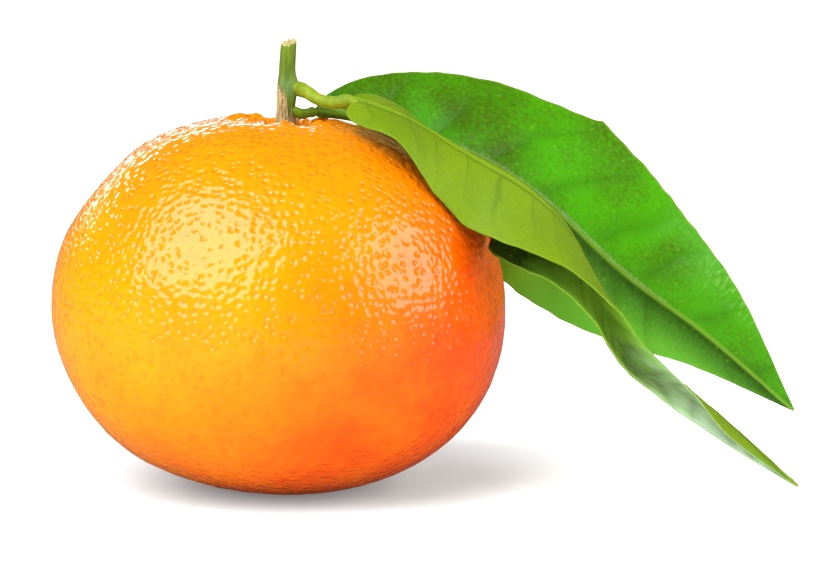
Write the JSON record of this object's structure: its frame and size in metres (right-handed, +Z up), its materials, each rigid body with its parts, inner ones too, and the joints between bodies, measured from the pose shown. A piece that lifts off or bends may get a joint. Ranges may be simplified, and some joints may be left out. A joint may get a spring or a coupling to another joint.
{
  "type": "mandarin",
  "caption": "Whole fresh mandarin with a short cut twig and long leaves on stalks, resting on a small flat spot.",
  "frame": {"origin": "on the floor, in the middle of the small flat spot that the fruit rests on", "axes": "+Z up through the stem end, +X towards the leaf tips, -Y the front"},
  "size_m": [0.1087, 0.0662, 0.0649],
  "materials": {
    "peel": "gloss",
    "calyx": "matte",
    "twig_bark": "matte",
    "stalk": "satin",
    "leaf_under_side": "satin",
    "leaf_upper_side": "gloss"
  },
  "bodies": {
    "root": {"fruit": "peel", "calyx": "calyx", "twig": "twig_bark", "upper_stalk": "stalk", "lower_stalk": "stalk", "front_leaf": "leaf_under_side", "back_leaf": "leaf_upper_side"}
  },
  "joints": []
}
